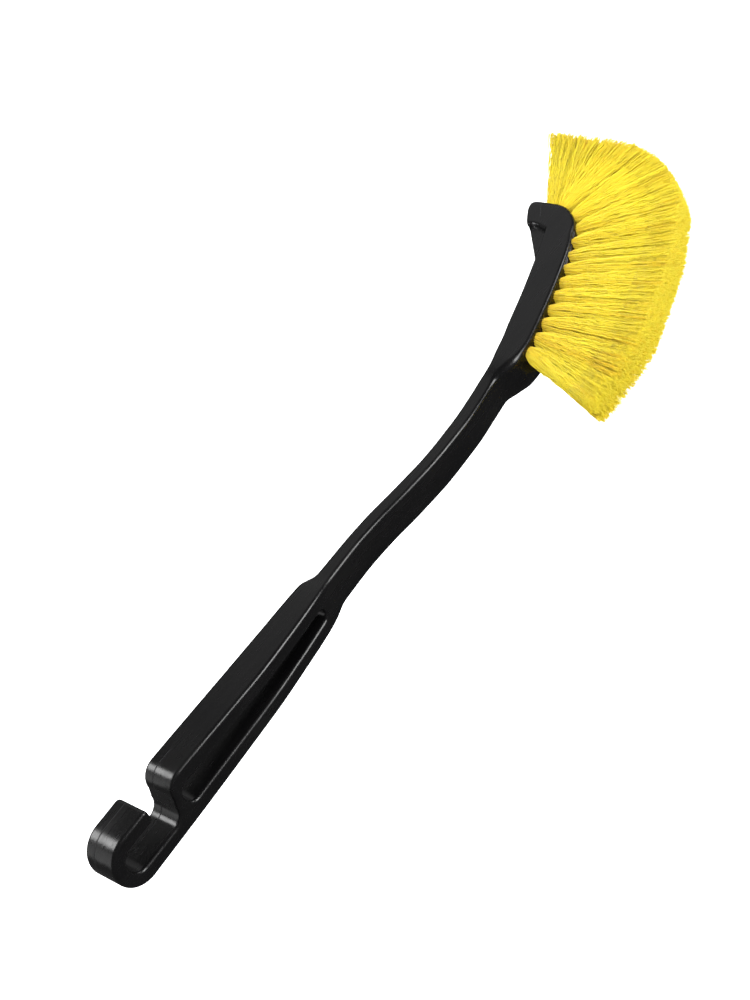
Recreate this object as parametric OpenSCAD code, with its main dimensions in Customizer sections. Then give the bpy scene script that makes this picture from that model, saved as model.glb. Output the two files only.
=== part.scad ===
// Wheel brush: a one-piece moulded handle (hanging hook, slotted grip, swept neck, tilted head)
// with drilled-in bristle tufts. X runs from the hook to the head, Z is the bristle side, and
// Y = 0 is the handle's centre line. The origin is the hook throat's axis on the back plane.

/* [Hook] */
// radius of the round throat that hangs on a peg
throat_r = 6.5; // [5.8:0.1:6.8]
// width of the ring round the throat
ring_w = 7.1; // [6.4:0.1:7.8]
// how far the free end of the hook reaches past the throat's axis
tip_reach = 15; // [12:0.5:16]

/* [Grip] */
// thickness of the hook and the grip, back to front
grip_t = 19.7; // [18.5:0.1:21]
// half width of the grip beside the hook mouth
grip_hw = 12.9; // [12.4:0.1:13.4]
// width of the long slot at its hook end
slot_wide = 10.4; // [8:0.2:11]
// width of the long slot at its neck end
slot_narrow = 5.6; // [4:0.2:6.4]

/* [Head] */
// half width of the head
head_hw = 9.8; // [9.4:0.1:10.4]
// distance of each column of tufts from the centre line
column_y = 4.7; // [4.5:0.1:5]

/* [Bristles] */
// diameter of a tuft where it leaves the head
tuft_d = 5.6; // [5:0.1:5.8]
// diameter of a tuft at its trimmed end
tuft_end_d = 9; // [7:0.2:9.2]
// depth of the tuft holes on the long face
hole_deep = 9; // [8:0.5:9.5]
// depth of the tuft holes round the tip
hole_tip = 6; // [5.5:0.1:6.2]
// outward lean of each column, degrees
column_lean = 3; // [2:0.5:5]

/* [Hidden] */
$fn = 64;
hook_R = throat_r + ring_w;   // outer radius of the hook
corner_r = 2.2;               // corners of the free end
nook_r = 6.2;                 // hollow corner between bar and grip end
nook_x = 19.2;
bump_r = 9.1;                 // rounded upper corner of the grip end
bump_x = 36;
bump_y = grip_hw - bump_r;
slot_x0 = 36;                 // centre of the slot's wide end
slot_x1 = 131.5;              // centre of the slot's narrow end
end_x = 388.5;                // far end of the head
end_r = 5.5;                  // plan corners of the head's end
fit = 0.05;                   // air between tuft and hole, and between staple and slit
staple_t = 0.6;
staple_h = 2;
staple_bite = 0.6;            // how far a staple bites into the wall each side
steps = 4;                    // straight facets between two stations
arc_step = 7.5;               // degrees of outline to one facet

// stations from the hook to the head: [x, back z, front z, half width]
stations = [
    [  0,   0,    grip_t,     hook_R],
    [ 36,   0,    grip_t,     grip_hw],
    [ 85,   0,    grip_t,     11.2],
    [112,   0,    18.2,       10.3],
    [130,   0,    16.5,        9.8],
    [138,   0,    15.2,        9.3],
    [147,   3.7,  13.4,        8.2],
    [165,   4.0,  13.0,        8.1],
    [182,   5.2,  14.2,        8.1],
    [200,   8.0,  17.0,        8.1],
    [226,  10.7,  19.4,        8.0],
    [244,  10.3,  19.3,        7.8],
    [262,   8.4,  17.4,        7.7],
    [272,   6.9,  16.3,        8.0],
    [279,   6.1,  18.9,        9.2],
    [286,   5.0,  20.8,        head_hw],
    [294,   3.6,  20.3,        head_hw],
    [306,  -0.3,  17.6,        head_hw],
    [324,  -5.9,  12.4,        head_hw],
    [341, -11.8,   6.9,        head_hw],
    [359, -18.6,   0.2,        head_hw],
    [368, -22.2,  -4.4,        head_hw]
];
// side outline of the head's end: over the tip, round the boss on the back, up to its foot
tip_pts = [
    [368, -4.4], [374.2, -7.2], [378.2, -10.6], [381.6, -14.8], [384.9, -20], [387.3, -25.9],
    [388.3, -31], [388.5, -36], [388.1, -40.5], [385.6, -43.3], [381, -42.8], [376.6, -40.4],
    [371.5, -36.9], [369.6, -34.5], [370.2, -31.5], [369.6, -27.3], [368, -22.2]
];
// rib that carries the boss, seen from the side
rib_pts = [[346, -13.2], [371.8, -36.6], [375, -30], [370, -20], [350, -12]];
rib_hw = 7;

// left column: [x, z, lean from the X axis in degrees, length past the face]
rows = [
    [303.0,  18.4,  98, 57.0],
    [312.3,  16.0,  89, 57.5],
    [321.1,  13.4,  85, 57.0],
    [330.0,  10.5,  82, 56.5],
    [338.8,   7.7,  79, 56.0],
    [347.6,   4.6,  76, 55.5],
    [356.4,   1.3,  72, 55.0],
    [365.2,  -2.9,  66, 54.0],
    [374.0,  -7.4,  54, 53.5],
    [381.8, -15.2,  34, 51.0],
    [386.8, -24.8,   8, 50.0]
];
first_tip_row = 8;            // from this row on the holes are shallow
heel = [293.8, 20.3, 111, 57.0];
crown = [388.4, -34.6, -27, 56.0];
left = concat([heel], rows);

function grade(v, i) = (v[i + 1][1] - v[i][1]) / (v[i + 1][0] - v[i][0]);
// slope of a monotone curve through v at point i
function bend(v, i) =
    i == 0 ? grade(v, 0) :
    i == len(v) - 1 ? grade(v, i - 1) :
    grade(v, i - 1) * grade(v, i) <= 0 ? 0 :
    2 * grade(v, i - 1) * grade(v, i) / (grade(v, i - 1) + grade(v, i));
function between(v, i, s) =
    let (d = v[i + 1][0] - v[i][0])
    [v[i][0] + s * d,
     (1 + 2 * s) * pow(1 - s, 2) * v[i][1] + s * pow(1 - s, 2) * d * bend(v, i)
     + s * s * (3 - 2 * s) * v[i + 1][1] + s * s * (s - 1) * d * bend(v, i + 1)];
function curve(v) = concat(
    [for (i = [0 : len(v) - 2], k = [0 : steps - 1]) between(v, i, k / steps)],
    [v[len(v) - 1]]);
// round curve through loose points
function arc_at(p, i, s) =
    let (a = p[max(i - 1, 0)], b = p[i], c = p[i + 1], d = p[min(i + 2, len(p) - 1)])
    0.5 * (2 * b + s * (c - a) + s * s * (2 * a - 5 * b + 4 * c - d)
    + s * s * s * (3 * b - a - 3 * c + d));
function loose(p) = [for (i = [0 : len(p) - 2], k = [1 : steps]) arc_at(p, i, k / steps)];
function column(k) = curve([for (s = stations) [s[0], s[k]]]);
function turned(v) = [for (i = [len(v) - 1 : -1 : 0]) v[i]];
function flip(v) = [for (p = v) [p[0], -p[1]]];

function hole(n) = n < first_tip_row ? hole_deep : hole_tip;
// the right column stands half a pitch nearer the heel than the left one
function right_at(n) = (left[n] + left[n + 1]) / 2;

// points of an arc round c, from angle a0 to a1
function arc(c, r, a0, a1) =
    let (n = ceil(abs(a1 - a0) / arc_step))
    [for (i = [0 : n]) c + r * [cos(a0 + (a1 - a0) * i / n), sin(a0 + (a1 - a0) * i / n)]];

// the handle seen from the bristle side, with a square-ended channel in place of the throat
module handle_plan() {
    polygon(concat(
        arc([0, 0], hook_R, 270, 90),
        arc([tip_reach - corner_r, hook_R - corner_r], corner_r, 90, 0),
        arc([tip_reach - corner_r, throat_r + corner_r], corner_r, 0, -90),
        [[0, throat_r], [0, -throat_r]],
        arc([nook_x, nook_r - throat_r], nook_r, -90, 0),
        arc([bump_x, bump_y], bump_r, 180, 90),
        [for (p = column(3)) if (p[0] > bump_x) p],
        arc([end_x - end_r, head_hw - end_r], end_r, 90, 0),
        arc([end_x - end_r, end_r - head_hw], end_r, 0, -90),
        turned(flip([for (p = column(3)) if (p[0] > 0) p]))));
}

module slot_plan() {
    t = asin((slot_wide - slot_narrow) / 2 / (slot_x1 - slot_x0));   // taper of each side
    polygon(concat(
        arc([slot_x0, 0], slot_wide / 2, 90 - t, 270 + t),
        arc([slot_x1, 0], slot_narrow / 2, t - 90, 90 - t)));
}

module side_outline() {
    polygon(concat(
        [[-hook_R - 1, 0], [-hook_R - 1, grip_t]],
        column(2), loose(tip_pts), turned([for (p = column(1)) if (p[0] < 368) p])));
}

// puts children on a tuft's axis, Z pointing out of the head
module at_tuft(r, y, lean = 0)
    translate([r[0], y, r[1]]) rotate([0, 90 - r[2], 0]) rotate([-lean, 0, 0]) children();

module every_tuft() {
    for (n = [0 : len(rows) - 1]) {
        at_tuft(rows[n], column_y, column_lean) tuft_tools(hole(n), $cut);
        at_tuft(right_at(n), -column_y, -column_lean) tuft_tools(hole(n), $cut);
    }
    at_tuft(heel, column_y, column_lean) tuft_tools(hole_deep, $cut);
    at_tuft(crown, 0) tuft_tools(hole_deep, $cut);
}

// cut = true: hole and staple slit; cut = false: the staple itself
module tuft_tools(deep, cut) {
    if (cut) {
        translate([0, 0, -deep]) cylinder(d = tuft_d, h = deep + 12);
        staple(deep, fit);
    } else staple(deep, 0);
}

module staple(deep, grow)
    translate([0, 0, -deep + staple_h / 2 + 0.3])
        cube([staple_t + 2 * grow, tuft_d + 2 * staple_bite + 2 * grow, staple_h + 2 * grow],
             center = true);

module tuft(r, y, lean, deep)
    color("gold") at_tuft(r, y, lean) difference() {
        union() {
            translate([0, 0, -deep + fit]) cylinder(d = tuft_d - 2 * fit, h = deep + 2);
            translate([0, 0, 2]) cylinder(d1 = tuft_d - 2 * fit, d2 = tuft_end_d, h = r[3] - 2);
        }
        staple(deep, fit);
    }

module handle() color([0.06, 0.06, 0.06]) difference() {
    union() {
        intersection() {
            linear_extrude(height = 100, center = true) handle_plan();
            rotate([90, 0, 0]) linear_extrude(height = 60, center = true) side_outline();
        }
        rotate([90, 0, 0]) linear_extrude(height = 2 * rib_hw, center = true) polygon(rib_pts);
    }
    translate([0, 0, -1]) cylinder(r = throat_r, h = grip_t + 2);
    translate([0, 0, -1]) linear_extrude(height = grip_t + 2) slot_plan();
    every_tuft($cut = true);
}

module tuft_staples() color("silver") every_tuft($cut = false);

module left_tuft(n) tuft(rows[n], column_y, column_lean, hole(n));
module right_tuft(n) tuft(right_at(n), -column_y, -column_lean, hole(n));
module tuft_heel() tuft(heel, column_y, column_lean, hole_deep);
module tuft_crown() tuft(crown, 0, 0, hole_deep);

handle();
tuft_heel();
left_tuft(0);  // tuft_1_left
left_tuft(1);  // tuft_2_left
left_tuft(2);  // tuft_3_left
left_tuft(3);  // tuft_4_left
left_tuft(4);  // tuft_5_left
left_tuft(5);  // tuft_6_left
left_tuft(6);  // tuft_7_left
left_tuft(7);  // tuft_8_left
left_tuft(8);  // tuft_9_left
left_tuft(9);  // tuft_10_left
left_tuft(10);  // tuft_11_left
right_tuft(0);  // tuft_1_right
right_tuft(1);  // tuft_2_right
right_tuft(2);  // tuft_3_right
right_tuft(3);  // tuft_4_right
right_tuft(4);  // tuft_5_right
right_tuft(5);  // tuft_6_right
right_tuft(6);  // tuft_7_right
right_tuft(7);  // tuft_8_right
right_tuft(8);  // tuft_9_right
right_tuft(9);  // tuft_10_right
right_tuft(10);  // tuft_11_right
tuft_crown();
tuft_staples();
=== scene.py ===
"""Wheel brush: satin black moulded handle with soft yellow flagged bristle tufts."""

import math

import bmesh
import bpy
import numpy as np
from mathutils import Matrix, Vector


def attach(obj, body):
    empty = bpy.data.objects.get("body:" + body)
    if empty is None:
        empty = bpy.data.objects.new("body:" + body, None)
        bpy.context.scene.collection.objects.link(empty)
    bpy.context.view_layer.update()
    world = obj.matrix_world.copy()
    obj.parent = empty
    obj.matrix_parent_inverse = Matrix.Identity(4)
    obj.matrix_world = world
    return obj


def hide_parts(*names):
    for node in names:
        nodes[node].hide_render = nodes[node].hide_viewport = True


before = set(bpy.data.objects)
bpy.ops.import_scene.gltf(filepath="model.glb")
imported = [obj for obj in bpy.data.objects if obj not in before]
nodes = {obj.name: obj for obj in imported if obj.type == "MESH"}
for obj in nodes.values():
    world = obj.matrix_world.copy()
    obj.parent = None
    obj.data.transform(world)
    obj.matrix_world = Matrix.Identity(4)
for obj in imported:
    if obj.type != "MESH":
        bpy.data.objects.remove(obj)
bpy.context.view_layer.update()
scene = bpy.context.scene

MM = 0.001
ROWS = 11
SIDES = {"left": 1.0, "right": -1.0}

# ---------------------------------------------------------------- handle
VOXEL = 0.45 * MM
ROUNDING_PASSES = 18
HANDLE_TRIS = 180000
EDGE_R = 2.0 * MM       # rounding of the moulding's edges
RIB_X = (0.343, 0.377)  # the rib that carries the boss, under the head
RIB_HALF = 7.0 * MM
HEEL_X = 0.281          # the edges are rounder where the head begins
HEEL_SPREAD = 0.008
HEEL_EXTRA_R = 2.2 * MM
PLUG_R = 3.1 * MM       # a plug closes each tuft's hole while the edges are rounded
PLUG_LENGTH = 9.2 * MM
PLUG_BELOW = 5.0 * MM   # from the head's surface to the plug's middle
SEAM_Z = 0.0066         # height of the parting line round the hook

# ---------------------------------------------------------------- bristles
FIBRES = 290          # filaments in one tuft
WIDE_FIBRES = 440     # and in the tufts that fan out widest, at both ends of the head
HEEL_FIBRES = 350
CROWN_FIBRES = 760
CLUMPS = 15           # strands that hold together in one tuft
RINGS = 20            # cross-sections along one filament
FIBRE_R = 0.2 * MM
TIP_R = 0.19 * MM
HAIRS = 4             # fine hairs into which a filament's end splits
HAIR_RINGS = 4
HAIR_R = 0.12 * MM
HAIR_LEN = 13 * MM
FLARE = 2.3 * MM      # how fast the filaments part just above their hole
FLARE_LEN = 5 * MM
JOINT_ABOVE = 2 * MM  # a CAD tuft's cone starts this far above the head's surface
ABOVE_SLIT = 3.5 * MM  # and its stem's staple slit ends below this height over its bottom
HOLE_R = 2.65 * MM    # radius over which the filaments start
START_BELOW = 3.5 * MM  # and how far down their hole
FAN_HALF_Y = 7.5 * MM # half the width of the trimmed surface
GOLDEN_ANGLE = 2.39996


# ================================================================ helpers
def link(obj):
    scene.collection.objects.link(obj)
    return obj


def vertices_of(obj):
    co = np.empty(len(obj.data.vertices) * 3)
    obj.data.vertices.foreach_get("co", co)
    return co.reshape(-1, 3)


def apply_modifiers(obj):
    dg = bpy.context.evaluated_depsgraph_get()
    mesh = bpy.data.meshes.new_from_object(obj.evaluated_get(dg))
    obj.modifiers.clear()
    old, obj.data = obj.data, mesh
    bpy.data.meshes.remove(old)


def add_values(mesh, name, values):
    a = mesh.attributes.new(name, "FLOAT", "POINT")
    a.data.foreach_set("value", values.astype(np.float32))


def unit(v):
    v = np.asarray(v, float)
    return v / np.linalg.norm(v, axis=-1, keepdims=True)


# ================================================================ materials
class Nodes:
    """Short way to write a node tree."""

    def __init__(self, name):
        self.mat = bpy.data.materials.new(name)
        self.mat.use_nodes = True
        self.tree = self.mat.node_tree
        self.tree.nodes.clear()

    def add(self, kind, inputs=None, **props):
        n = self.tree.nodes.new(kind)
        for k, v in props.items():
            setattr(n, k, v)
        for k, v in (inputs or {}).items():
            if isinstance(v, bpy.types.NodeSocket):
                self.tree.links.new(v, n.inputs[k])
            else:
                n.inputs[k].default_value = v
        return n

    def ramp(self, fac, stops):
        n = self.add("ShaderNodeValToRGB", {"Fac": fac})
        e = n.color_ramp.elements
        while len(e) < len(stops):
            e.new(0.5)
        for el, (p, c) in zip(e, stops):
            el.position = p
            el.color = (*c, 1.0)
        return n.outputs["Color"]

    def value(self, fac, lo, hi, frm=0.0, to=1.0):
        return self.add(
            "ShaderNodeMapRange",
            {"Value": fac, "From Min": frm, "From Max": to, "To Min": lo, "To Max": hi},
        ).outputs["Result"]

    def math(self, op, a, b=0.0, clamp=False):
        n = self.add("ShaderNodeMath", {0: a, 1: b}, operation=op)
        n.use_clamp = clamp
        return n.outputs[0]


def black_plastic():
    m = Nodes("black_moulded_plastic")
    pos = m.add("ShaderNodeTexCoord").outputs["Object"]
    grain = m.add(
        "ShaderNodeTexNoise",
        {"Vector": pos, "Scale": 2600.0, "Detail": 3.0, "Roughness": 0.6},
    ).outputs["Fac"]
    flow = m.add(
        "ShaderNodeMapping", {"Vector": pos, "Scale": (14.0, 60.0, 60.0)}
    ).outputs["Vector"]
    mottle = m.add(
        "ShaderNodeTexNoise",
        {"Vector": flow, "Scale": 1.6, "Detail": 5.0, "Roughness": 0.62},
    ).outputs["Fac"]
    scratch_at = m.add(
        "ShaderNodeMapping",
        {"Vector": pos, "Rotation": (0.3, 0.2, 0.5), "Scale": (90.0, 900.0, 900.0)},
    ).outputs["Vector"]
    scratch = m.add(
        "ShaderNodeTexNoise",
        {"Vector": scratch_at, "Scale": 1.0, "Detail": 2.0, "Roughness": 0.5},
    ).outputs["Fac"]
    scuff = m.value(scratch, 0.0, 1.0, 0.66, 0.74)
    above = m.add("ShaderNodeAttribute", attribute_name="above_seam").outputs["Fac"]
    shows = m.add("ShaderNodeAttribute", attribute_name="seam_shows").outputs["Fac"]
    seam = m.value(m.math("ABSOLUTE", above), 1.0, 0.0, 0.0, 0.3)
    seam = m.math("MULTIPLY", seam, shows)
    base = m.ramp(mottle, [(0.3, (0.0014, 0.0014, 0.0016)), (0.75, (0.0034, 0.0033, 0.0033))])
    rough = m.value(mottle, 0.21, 0.31, 0.25, 0.75)
    rough = m.math("ADD", rough, m.math("MULTIPLY", scuff, 0.07), clamp=True)
    bump = m.add(
        "ShaderNodeBump",
        {"Strength": 0.22, "Distance": 0.00006, "Height": grain},
    ).outputs["Normal"]
    bump = m.add(
        "ShaderNodeBump",
        {"Strength": 0.35, "Distance": 0.0006, "Height": mottle, "Normal": bump},
    ).outputs["Normal"]
    bump = m.add(
        "ShaderNodeBump",
        {"Strength": 0.7, "Distance": 0.00018, "Height": seam, "Normal": bump},
    ).outputs["Normal"]
    seam_painted_highlight = m.add("ShaderNodeMix", data_type="RGBA")   # the parting line is painted paler, a painted highlight along its ridge
    seam_painted_highlight.inputs["B"].default_value = (0.05, 0.05, 0.052, 1.0)
    m.tree.links.new(base, seam_painted_highlight.inputs["A"])
    m.tree.links.new(m.math("MULTIPLY", seam, 0.5), seam_painted_highlight.inputs["Factor"])
    shader = m.add(
        "ShaderNodeBsdfPrincipled",
        {"Base Color": seam_painted_highlight.outputs["Result"], "Roughness": rough, "Normal": bump, "IOR": 1.49},
    )
    m.add("ShaderNodeOutputMaterial", {"Surface": shader.outputs["BSDF"]})
    return m.mat


def bristle_material():
    m = Nodes("yellow_flagged_filament")
    tone = m.add("ShaderNodeAttribute", attribute_name="tone").outputs["Fac"]
    along = m.add("ShaderNodeAttribute", attribute_name="along").outputs["Fac"]
    # colour along each filament: darker and more orange at the root, painted shade where the tufts
    # crowd into the head; a little paler towards the tip
    root = m.ramp(
        along,
        [
            (0.0, (0.86, 0.62, 0.03)),
            (0.13, (0.96, 0.84, 0.05)),
            (0.6, (0.97, 0.885, 0.06)),
            (1.0, (0.97, 0.895, 0.1)),
        ],
    )
    shade = m.ramp(
        tone, [(0.0, (0.98, 0.87, 0.62)), (0.5, (0.99, 0.97, 0.95)), (1.0, (1.0, 1.0, 1.0))]
    )
    mix = m.add("ShaderNodeMix", data_type="RGBA", blend_type="MULTIPLY")
    mix.inputs["Factor"].default_value = 1.0
    m.tree.links.new(root, mix.inputs["A"])
    m.tree.links.new(shade, mix.inputs["B"])
    colour = mix.outputs["Result"]
    body = m.add(
        "ShaderNodeBsdfPrincipled",
        {
            "Base Color": colour,
            "Roughness": 0.48,
            "IOR": 1.5,
            "Sheen Weight": 0.15,
            "Sheen Roughness": 0.5,
        },
    ).outputs["BSDF"]
    glow = m.add("ShaderNodeBsdfTranslucent", {"Color": colour}).outputs["BSDF"]
    through = m.value(along, 0.45, 0.68, 0.55, 1.0)
    both = m.add("ShaderNodeMixShader", {0: through, 1: body, 2: glow}).outputs["Shader"]
    m.add("ShaderNodeOutputMaterial", {"Surface": both})
    return m.mat


def wire_material():
    m = Nodes("tinned_wire")
    pos = m.add("ShaderNodeTexCoord").outputs["Object"]
    noise = m.add(
        "ShaderNodeTexNoise", {"Vector": pos, "Scale": 1800.0, "Detail": 4.0}
    ).outputs["Fac"]
    shader = m.add(
        "ShaderNodeBsdfPrincipled",
        {
            "Base Color": m.ramp(noise, [(0.3, (0.46, 0.46, 0.47)), (0.7, (0.62, 0.62, 0.63))]),
            "Metallic": 1.0,
            "Roughness": m.value(noise, 0.28, 0.42),
        },
    )
    m.add("ShaderNodeOutputMaterial", {"Surface": shader.outputs["BSDF"]})
    return m.mat


# ================================================================ tuft layout, from the CAD nodes
def tuft_axis(node):
    """Where a tuft leaves the head, its direction and its length above the head."""
    co = vertices_of(nodes[node])
    centre = co.mean(0)
    axis = np.linalg.svd(co - centre, full_matrices=False)[2][0]
    wide = [np.ptp(co[np.abs(s - e) < 0.2 * MM], axis=0).max()
            for s in [(co - centre) @ axis] for e in (s.min(), s.max())]
    if wide[0] > wide[1]:
        axis = -axis
    for _ in range(3):
        s = (co - centre) @ axis
        far = co[s > s.max() - 0.3 * MM].mean(0)
        near = co[s < s.min() + 0.3 * MM].mean(0)
        axis = unit(far - near)
    s = (co - near) @ axis
    joint = s[s > ABOVE_SLIT].min()
    base = near + axis * (joint - JOINT_ABOVE)
    return base, axis, float(np.linalg.norm(far - base))


pairs = [f"tuft_{n}_{s}" for s in SIDES for n in range(1, ROWS + 1)]
layout = {n: tuft_axis(n) for n in ["tuft_heel", *pairs, "tuft_crown"]}


# ================================================================ handle
def moulded_handle(material):
    body = link(bpy.data.objects.new("handle_moulding", nodes["handle"].data.copy()))
    body.data.materials.clear()
    bm = bmesh.new()
    bm.from_mesh(body.data)
    bmesh.ops.remove_doubles(bm, verts=bm.verts, dist=1e-6)
    for base, axis, _ in layout.values():
        turn = Vector(axis).to_track_quat("Z", "Y").to_matrix().to_4x4()
        bmesh.ops.create_cone(
            bm, cap_ends=True, segments=24, radius1=PLUG_R, radius2=PLUG_R, depth=PLUG_LENGTH,
            matrix=Matrix.Translation(Vector(base - axis * PLUG_BELOW)) @ turn,
        )
    bm.to_mesh(body.data)
    bm.free()
    r = body.modifiers.new("remesh", "REMESH")
    r.mode = "VOXEL"
    r.voxel_size = VOXEL
    s = body.modifiers.new("round", "SMOOTH")
    s.factor = 0.5
    s.iterations = ROUNDING_PASSES
    apply_modifiers(body)
    d = body.modifiers.new("lighten", "DECIMATE")
    d.ratio = min(1.0, HANDLE_TRIS / (2 * len(body.data.polygons)))
    apply_modifiers(body)
    body.data.polygons.foreach_set("use_smooth", [True] * len(body.data.polygons))
    settle(body)
    body.data.materials.append(material)
    add_seam(body)
    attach(body, "root")
    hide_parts("handle")
    return body


def facets(flat, normal, keep, pick):
    """Merged straight segments of an outline seen along one axis.

    Returns each one's start, direction, length, normal and the smoothed normals at its ends."""
    spans = {}
    for i in np.flatnonzero(keep):
        n = unit(normal[i][pick])
        pts = flat[i][:, pick]
        key = (round(n[0], 3), round(n[1], 3), round(float(pts[0] @ n) / (0.02 * MM)))
        along = pts @ np.array([-n[1], n[0]])
        spans.setdefault(key, []).append((along.min(), along.max(), n, float(pts[0] @ n)))
    out = []
    for group in spans.values():
        group.sort(key=lambda g: g[0])
        lo, hi, n, off = group[0]
        for g in group[1:] + [(np.inf, np.inf, n, off)]:
            if g[0] > hi + 0.01 * MM:
                tangent = np.array([-n[1], n[0]])
                out.append((n * off + tangent * lo, tangent, hi - lo, n))
                lo, hi = g[0], g[1]
            hi = max(hi, g[1])
    start, tangent, length, n = (np.array(v) for v in zip(*out))
    ends = np.stack([start, start + tangent * length[:, None]], 1)
    smooth = np.empty_like(ends)
    for e in range(2):   # the normal at a corner is shared by facets that meet at a small angle
        for i in range(len(n)):
            touch = (np.abs(ends - ends[i, e]).max(-1) < 0.03 * MM).any(1)
            touch &= n @ n[i] > math.cos(math.radians(22))
            smooth[i, e] = unit(n[touch].mean(0))
    return start, tangent, length, n, smooth


def signed_distance(points, segments):
    """Distance to an outline (negative inside it) and the outline's smoothed normal there."""
    start, tangent, length, n, smooth = segments
    dist, normal = np.empty(len(points)), np.empty_like(points)
    for i in range(0, len(points), 4000):
        d = points[i:i + 4000, None] - start[None]
        t = np.clip((d * tangent).sum(-1), 0, length)
        gap = d - t[..., None] * tangent
        best = (gap ** 2).sum(-1).argmin(1)
        row = np.arange(len(best))
        perp = (d[row, best] * n[best]).sum(-1)
        dist[i:i + 4000] = np.sign(perp) * np.linalg.norm(gap[row, best], axis=-1)
        share = (t[row, best] / np.maximum(length[best], 1e-9))[:, None]
        normal[i:i + 4000] = unit(smooth[best, 0] * (1 - share) + smooth[best, 1] * share)
    return dist, normal


def handle_outlines():
    """The handle's outline seen from the bristle side, and from its side, from its CAD faces."""
    mesh = nodes["handle"].data
    co = vertices_of(nodes["handle"])
    corners = [co[list(f.vertices)] for f in mesh.polygons]
    normal = np.array([f.normal for f in mesh.polygons])
    centre = np.array([c.mean(0) for c in corners])
    socket = np.zeros(len(centre), bool)
    for base, axis, _ in layout.values():
        d = centre - base
        h = d @ axis
        beside = np.linalg.norm(d - h[:, None] * axis, axis=1)
        socket |= (beside < 4.2 * MM) & (h < -0.3 * MM) & (h > -12 * MM)
    upright = np.abs(normal[:, 2]) < 1e-3
    across = np.abs(normal[:, 1]) < 1e-3
    plan = facets(corners, normal, upright & ~socket, [0, 1])
    side = across & ~upright & ~socket
    in_rib = (centre[:, 0] > RIB_X[0]) & (centre[:, 0] < RIB_X[1]) & (normal[:, 2] < 0)
    planes = {}
    for i in np.flatnonzero(side & in_rib):
        offset = round(float(centre[i] @ normal[i]) / MM, 1)
        key = (round(normal[i][0], 2), round(normal[i][2], 2), offset)
        planes.setdefault(key, []).append(i)
    for group in planes.values():   # the rib is narrower than the head
        if max(np.abs(corners[i][:, 1]).max() for i in group) < RIB_HALF + 0.2 * MM:
            side[group] = False
    return plan, facets(corners, normal, side, [0, 2])


def settle(body):
    """Moves the rounded mesh onto the exact outlines, with one edge radius all round except where
    the head begins, where it is larger.
    """
    plan, side = handle_outlines()
    co = vertices_of(body)
    heel = np.exp(-(((co[:, 0] - HEEL_X) / HEEL_SPREAD) ** 2))
    r = EDGE_R + HEEL_EXTRA_R * heel
    for _ in range(3):
        a, na = signed_distance(co[:, [0, 1]], plan)
        b, nb = signed_distance(co[:, [0, 2]], side)
        a, b = a + r, b + r
        both = (a > 0) & (b > 0)
        f = np.minimum(np.maximum(a, b), 0) + np.hypot(np.maximum(a, 0), np.maximum(b, 0)) - r
        wa = np.where(both, a, (a > b).astype(float))
        wb = np.where(both, b, (a <= b).astype(float))
        g = np.stack([wa * na[:, 0] + wb * nb[:, 0], wa * na[:, 1], wb * nb[:, 1]], -1)
        g = unit(g)
        rib = ((co[:, 0] > RIB_X[0]) & (co[:, 0] < RIB_X[1]) & (nb[:, 1] < 0)
               & (np.abs(co[:, 1]) < RIB_HALF + 1.5 * MM))
        fade = np.clip((f - 0.05 * MM) / (0.9 * MM), 0, 1)
        w = np.where(rib, 1 - fade * fade * (3 - 2 * fade), 1.0)
        w = np.where(np.abs(f) > 2.6 * MM, 0.0, w)
        co = co - (w * f)[:, None] * g
    own = np.empty(len(co) * 3)
    body.data.vertices.foreach_set("co", co.astype(np.float32).ravel())
    body.data.update()
    body.data.vertices.foreach_get("normal", own)
    normals = np.where(w[:, None] > 0.98, g, own.reshape(-1, 3))
    body.data.normals_split_custom_set_from_vertices(normals.astype(np.float32).tolist())


def add_seam(body):
    """Height over the moulding's parting line, which shows round the hook and on the tip."""
    co = vertices_of(body)
    tip = co[:, 0] > 0.2
    above_tip_line = 0.550 * (co[:, 0] - 0.3795) + 0.835 * (co[:, 2] + 0.0329)
    above = np.where(tip, above_tip_line, co[:, 2] - SEAM_Z)
    add_values(body.data, "above_seam", above / MM)
    shows = np.clip((0.046 - co[:, 0]) / 0.004, 0, 1)
    shows += np.clip((co[:, 0] - 0.375) / 0.001, 0, 1) * np.clip((co[:, 1] - 0.005) / 0.001, 0, 1)
    add_values(body.data, "seam_shows", shows)


# ================================================================ bristles
def chain_curve(points):
    """Smooth curve through points at whole-numbered places, straight past its ends."""
    p = np.asarray(points)
    n = len(p)

    def at(q):
        q = np.asarray(q, float)
        i = np.clip(np.floor(q).astype(int), 0, n - 2)
        t = (q - i)[:, None]
        a = p[np.clip(i - 1, 0, n - 1)]
        b, c = p[i], p[i + 1]
        d = p[np.clip(i + 2, 0, n - 1)]
        inside = 0.5 * (2 * b + t * (c - a) + t * t * (2 * a - 5 * b + 4 * c - d)
                        + t ** 3 * (3 * b - a - 3 * c + d))
        return np.where((t < 0) | (t > 1), b + t * (c - b), inside)

    return at


def tubes(paths, radii, sides):
    """Vertices and quads of closed tubes, one along each path."""
    n, m, _ = paths.shape
    tangent = unit(np.gradient(paths, axis=1))
    ref = unit(np.cross(tangent[:, :1], np.array([0.31, 0.87, 0.38])))
    side = unit(ref - tangent * (ref * tangent).sum(-1, keepdims=True))
    up = np.cross(tangent, side)
    ang = 2 * math.pi * np.arange(sides) / sides
    ring = side[:, :, None] * np.cos(ang)[:, None] + up[:, :, None] * np.sin(ang)[:, None]
    verts = paths[:, :, None] + ring * radii[:, :, None, None]
    idx = np.arange(n * m * sides).reshape(n, m, sides)
    nxt = np.roll(idx, -1, axis=2)
    quads = np.stack([idx[:, :-1], nxt[:, :-1], nxt[:, 1:], idx[:, 1:]], -1).reshape(-1, 4)
    caps = np.concatenate([idx[:, 0, ::-1], idx[:, -1]])
    return verts.reshape(-1, 3), quads, caps


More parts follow.
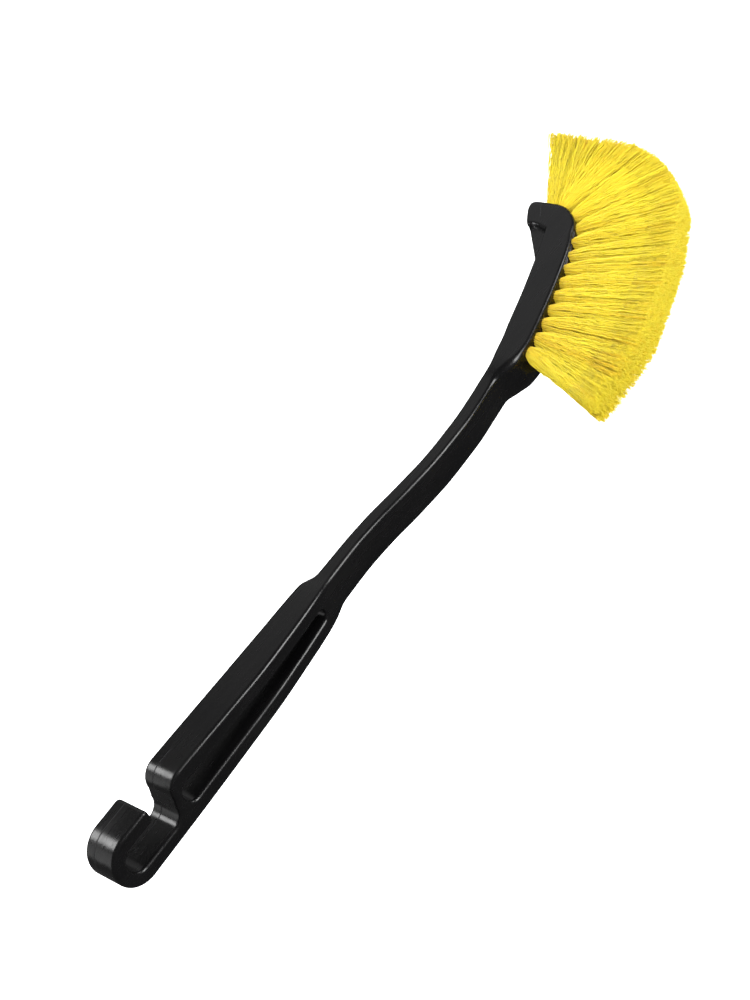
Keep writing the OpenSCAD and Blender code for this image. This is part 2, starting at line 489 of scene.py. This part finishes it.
def mesh_from(name, parts):
    """One mesh from several (verts, quads, caps, tone, along) parts."""
    verts, faces, tone, along, base = [], [], [], [], 0
    for v, quads, caps, tn, al in parts:
        verts.append(v)
        faces += [quads + base, caps + base]
        tone.append(tn)
        along.append(al)
        base += len(v)
    verts = np.concatenate(verts)
    mesh = bpy.data.meshes.new(name)
    mesh.vertices.add(len(verts))
    mesh.vertices.foreach_set("co", verts.astype(np.float32).ravel())
    sizes = np.concatenate([np.full(len(f), f.shape[1]) for f in faces])
    loops = np.concatenate([f.ravel() for f in faces])
    mesh.loops.add(len(loops))
    mesh.loops.foreach_set("vertex_index", loops.astype(np.int32))
    mesh.polygons.add(len(sizes))
    starts = np.concatenate([[0], np.cumsum(sizes)[:-1]])
    mesh.polygons.foreach_set("loop_start", starts.astype(np.int32))
    mesh.polygons.foreach_set("use_smooth", sizes == 4)   # the cut ends stay flat
    mesh.update(calc_edges=True)
    add_values(mesh, "tone", np.concatenate(tone))
    add_values(mesh, "along", np.concatenate(along))
    return mesh


def tuft(name, index, column, rng, ends, material, low=0.56, high=0.56, count=FIBRES, bunch=0.025):
    """A tuft of wavy filaments that parts above its hole and fans out to the trimmed surface.

    index is the tuft's place along the head; low and high are how far its ends reach past that
    place, in tuft pitches, towards the heel and towards the crown; bunch is how unevenly its
    strands are spread."""
    base, axis, length = layout[name]
    across = unit(np.cross([0, 1, 0], axis))      # towards the tip, square to the tuft
    yhat = np.array([0.0, 1.0, 0.0])
    k = np.arange(CLUMPS)
    cr = np.sqrt((k + 0.5) / CLUMPS) * 0.86
    ca = k * GOLDEN_ANGLE + rng.uniform(0, 6.28)
    centres = np.stack([cr * np.cos(ca), cr * np.sin(ca)], -1)
    # filaments: even over the hole, each held by its nearest strand
    f = np.arange(count)
    fr = np.sqrt((f + 0.5) / count)
    fa = f * GOLDEN_ANGLE + rng.uniform(0, 6.28)
    uv = np.stack([fr * np.cos(fa), fr * np.sin(fa)], -1) + rng.normal(0, 0.03, (count, 2))
    owner = np.argmin(((uv[:, None] - centres[None]) ** 2).sum(-1), axis=1)
    # the round hole opens out into a nearly square patch of the trimmed surface
    squared = uv * (np.linalg.norm(uv, axis=1) / np.abs(uv).max(1))[:, None]
    target = 0.9 * squared + 0.1 * centres[owner] + rng.normal(0, bunch, (CLUMPS, 2))[owner]
    target += rng.normal(0, 0.13, (count, 2))
    side_reach = np.where(target[:, 0] < 0, low, high)
    end_xz = ends(index + side_reach * target[:, 0])
    half_y = FAN_HALF_Y if column == 0 else 0.56 * FAN_HALF_Y
    end_y = column * 0.5 * FAN_HALF_Y + target[:, 1] * half_y
    end = np.stack([end_xz[:, 0], end_y, end_xz[:, 1]], -1)
    start = base + HOLE_R * (uv[:, :1] * across + uv[:, 1:] * yhat) - START_BELOW * axis
    span = end - start
    dist = np.linalg.norm(span, axis=1, keepdims=True)
    ragged = 0.25 if 1 <= index <= ROWS else 0.55
    uneven = rng.normal(0, ragged, count) + rng.normal(0, 0.5 * ragged, CLUMPS)[owner]
    end = start + span * (1 + uneven[:, None] * MM / dist)
    span = end - start
    dist = np.linalg.norm(span, axis=1, keepdims=True)
    d1 = unit(span)
    d0 = unit(axis * 0.35 + d1 * 0.65)
    t = np.linspace(0, 1, RINGS)[None, :, None]
    h00, h10 = 2 * t**3 - 3 * t**2 + 1, t**3 - 2 * t**2 + t
    h01, h11 = -2 * t**3 + 3 * t**2, t**3 - t**2
    drift = rng.normal(0, 0.02, (count, 3))
    m0, m1 = (d0 * dist)[:, None], ((d1 + drift) * dist)[:, None]
    path = h00 * start[:, None] + h10 * m0 + h01 * end[:, None] + h11 * m1
    rise = np.maximum(t * dist[:, None] - START_BELOW, 0)
    part = FLARE * (1 - np.exp(-rise / FLARE_LEN)) * (1 - t)
    path += part * (uv[:, :1] * across + 0.7 * uv[:, 1:] * yhat)[:, None]
    # strands draw together a little part way along
    pull = 0.13 * np.sin(math.pi * t ** 0.8) ** 1.2
    strand_mean = np.stack([path[owner == c].mean(0) if (owner == c).any() else path[0]
                            for c in range(CLUMPS)])
    path = path + (strand_mean[owner] - path) * pull
    # waves: mostly shared by a strand
    s = (t * dist[:, None] / MM)[..., 0]
    for direction, share in ((across, 1.0), (yhat, 0.8)):
        wl = 14 + rng.uniform(-2.5, 3.5, CLUMPS)[owner]
        ph = rng.uniform(0, 6.28, CLUMPS)[owner] + rng.normal(0, 1.0, count)
        amp = 0.10 + 0.16 * rng.random(CLUMPS)[owner] + 0.10 * rng.random(count)
        wave = np.sin(2 * math.pi * s / wl[:, None] + ph[:, None]) * amp[:, None]
        fine_wl = (6.5 + rng.uniform(-1, 1, count))[:, None]
        fine = np.sin(2 * math.pi * s / fine_wl + rng.uniform(0, 6.28, count)[:, None])
        grow = np.clip(s / 12, 0, 1)
        path = path + ((wave + 0.13 * fine) * grow * share * MM)[..., None] * direction
    taper = FIBRE_R + (TIP_R - FIBRE_R) * t[..., 0] ** 2
    radius = np.broadcast_to(taper, (count, RINGS)) * rng.uniform(0.85, 1.12, count)[:, None]
    tone = np.clip(0.6 + rng.normal(0, 0.16, CLUMPS)[owner] + rng.normal(0, 0.18, count), 0, 1)
    v, q, c = tubes(path, radius, 3)
    parts = [(v, q, c, np.repeat(tone, RINGS * 3), np.tile(np.repeat(t[0, :, 0], 3), count))]
    # split ends, each starting at its own place in the last stretch of its filament
    ring = dist[:, 0] / (RINGS - 1)
    first = np.ceil(HAIR_LEN / ring).astype(int)
    row = np.arange(count)
    for _ in range(HAIRS):
        cut = RINGS - 1 - rng.integers(1, first + 1)
        root_pt = path[row, cut]
        heading = path[:, -1] - root_pt
        left = np.linalg.norm(heading, axis=1)
        heading = heading / left[:, None]
        spread = rng.normal(0, 0.06, (count, 3))
        ln = left * rng.uniform(0.93, 1.02, count)
        tt = np.linspace(0, 1, HAIR_RINGS)[None, :, None]
        sway = 0.02 * np.sin(5 * tt + rng.uniform(0, 6.28, (count, 1, 1))) * yhat * tt
        way = heading[:, None] * tt + spread[:, None] * tt**1.4 + sway
        hair = root_pt[:, None] + way * ln[:, None, None]
        hr = np.broadcast_to(HAIR_R * (1.1 - 0.45 * tt[..., 0]), (count, HAIR_RINGS))
        v, q, c = tubes(hair, hr, 3)
        al = (cut[:, None] + (RINGS - 1 - cut[:, None]) * tt[0, :, 0]) / (RINGS - 1)
        parts.append((v, q, c, np.repeat(tone, HAIR_RINGS * 3), np.repeat(al.ravel(), 3)))
    piece = link(bpy.data.objects.new(name + "_fibres", mesh_from(name, parts)))
    piece.data.materials.append(material)
    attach(piece, "root")
    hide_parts(name)
    return piece


def bristles(material):
    centre_end = {n: b + a * l for n, (b, a, l) in layout.items()}
    chain = ["tuft_heel"] + [f"tuft_{n}_left" for n in range(1, ROWS + 1)] + ["tuft_crown"]
    ends = chain_curve([(centre_end[n][0], centre_end[n][2]) for n in chain])
    seed = 100
    for side, sign in SIDES.items():
        for n in range(1, ROWS + 1):
            seed += 1
            place = n if side == "left" else n - 0.5
            wide = n >= ROWS - 1 or place < 1
            tuft(f"tuft_{n}_{side}", place, sign, np.random.default_rng(seed), ends, material,
                 high=(1.2 if side == "right" else 0.72) if n == ROWS else 0.56,
                 count=WIDE_FIBRES if wide else FIBRES)
    tuft("tuft_heel", 0, 1, np.random.default_rng(91), ends, material, low=0.12, high=0.6,
         count=HEEL_FIBRES, bunch=0.17)
    tuft("tuft_crown", ROWS + 1, 0, np.random.default_rng(92), ends, material, low=0.62, high=0.21,
         count=CROWN_FIBRES, bunch=0.05)


# ================================================================ stage
def floor_material():
    m = Nodes("pale_floor")
    pos = m.add("ShaderNodeTexCoord").outputs["Object"]
    noise = m.add("ShaderNodeTexNoise", {"Vector": pos, "Scale": 3.0}).outputs["Fac"]
    diffuse = m.add(
        "ShaderNodeBsdfDiffuse",
        {"Color": m.ramp(noise, [(0.0, (0.9, 0.9, 0.9)), (1.0, (0.94, 0.94, 0.94))])},
    ).outputs["BSDF"]
    glow = m.add("ShaderNodeEmission", {"Color": (1, 1, 1, 1), "Strength": 1.05}).outputs["Emission"]
    lit = m.add("ShaderNodeAddShader", {0: diffuse, 1: glow}).outputs["Shader"]
    clear = m.add("ShaderNodeBsdfTransparent").outputs["BSDF"]
    back = m.add("ShaderNodeNewGeometry").outputs["Backfacing"]
    both = m.add("ShaderNodeMixShader", {0: back, 1: lit, 2: clear}).outputs["Shader"]
    m.add("ShaderNodeOutputMaterial", {"Surface": both})
    return m.mat


def build_stage():
    bm = bmesh.new()
    bmesh.ops.create_grid(bm, x_segments=1, y_segments=1, size=30)
    mesh = bpy.data.meshes.new("floor")
    bm.to_mesh(mesh)
    bm.free()
    floor = link(bpy.data.objects.new("floor", mesh))
    floor.location = (0.2, 0, -0.9)
    floor.data.materials.append(floor_material())
    floor.visible_glossy = False
    floor.visible_diffuse = False
    world = bpy.data.worlds.new("studio")
    scene.world = world
    world.use_nodes = True
    tree = world.node_tree
    dim = tree.nodes["Background"]               # what lights the brush
    pale = tree.nodes.new("ShaderNodeBackground")  # what shows beyond the floor
    for node, strength in ((dim, 0.09), (pale, 1.0)):
        node.inputs["Color"].default_value = (1, 1, 1, 1)
        node.inputs["Strength"].default_value = strength
    seen = tree.nodes.new("ShaderNodeLightPath").outputs["Is Camera Ray"]
    both = tree.nodes.new("ShaderNodeMixShader")
    for out, socket in ((seen, 0), (dim.outputs[0], 1), (pale.outputs[0], 2)):
        tree.links.new(out, both.inputs[socket])
    tree.links.new(both.outputs[0], tree.nodes["World Output"].inputs["Surface"])
    scene.view_settings.view_transform = "Standard"


HOOK = (0.02, 0.0, 0.01)
MIDDLE = (0.2, 0.0, 0.0)
HEAD = (0.36, 0.0, 0.02)
LAMPS = (   # name, direction from its aim, distance, width, power, aim, what it shows in
    ("key", (-0.30, 0.88, 0.40), 1.3, 1.3, 34, HEAD, "matt"),
    ("fill_tip", (0.85, 0.30, 0.10), 1.3, 1.2, 16, HEAD, "matt"),
    ("fill_heel", (-0.70, 0.10, 0.70), 1.3, 1.2, 10.5, HEAD, "matt"),
    ("fill_top", (0.30, 0.20, 0.90), 1.3, 1.2, 8.5, HEAD, "matt"),
    ("fill_low", (0.20, 0.55, -0.80), 1.3, 1.2, 12, HEAD, "matt"),
    ("fill_far", (0.10, -0.85, 0.45), 1.3, 1.2, 18, HEAD, "matt"),
    ("hook_card", (-0.224, 0.643, -0.731), 1.0, 0.35, 3.6, HOOK, "shine"),
    ("hook_glow", (-0.65, 0.20, -0.731), 1.0, 0.6, 0.9, HOOK, "shine"),
    ("head_glow", (0.516, 0.572, -0.634), 1.2, 1.0, 0.9, HEAD, "shine"),
    ("head_edge_card", (0.853, 0.421, 0.300), 1.2, 0.3, 2.0, HEAD, "shine"),
    ("edge_card", (0.378, 0.621, 0.677), 1.2, 0.5, 9, MIDDLE, "shine"),
)


def build_lights():
    """Square area lamps: "matt" ones only light surfaces, "shine" ones only show as reflections."""
    for name, direction, distance, width, power, aim, shows_in in LAMPS:
        data = bpy.data.lights.new(name, "AREA")
        data.shape = "RECTANGLE"
        data.size = data.size_y = width
        data.energy = power
        lamp = link(bpy.data.objects.new(name, data))
        d = Vector(direction).normalized()
        lamp.location = Vector(aim) + d * distance
        lamp.rotation_mode = "QUATERNION"
        lamp.rotation_quaternion = d.to_track_quat("Z", "Y")
        lamp.visible_camera = False
        lamp.visible_glossy = shows_in == "shine"
        lamp.visible_diffuse = shows_in == "matt"
        lamp.visible_transmission = shows_in == "matt"


def build_camera():
    cam = link(bpy.data.objects.new("camera", bpy.data.cameras.new("camera")))
    cam.data.lens = 72
    cam.data.sensor_width = 36
    back = Vector((-0.378, 0.617, 0.690)).normalized()
    up = Vector((0.722, 0.663, -0.196))
    right = up.cross(back).normalized()
    up = back.cross(right)
    turn = Matrix((right, up, back)).transposed()
    cam.matrix_world = Matrix.Translation((-0.1486, 0.5635, 0.6250)) @ turn.to_4x4()
    cam.data.clip_start, cam.data.clip_end = 0.05, 100
    scene.camera = cam


moulded_handle(black_plastic())
nodes["tuft_staples"].data.materials.clear()
nodes["tuft_staples"].data.materials.append(wire_material())
bristles(bristle_material())
build_stage()
build_lights()
build_camera()
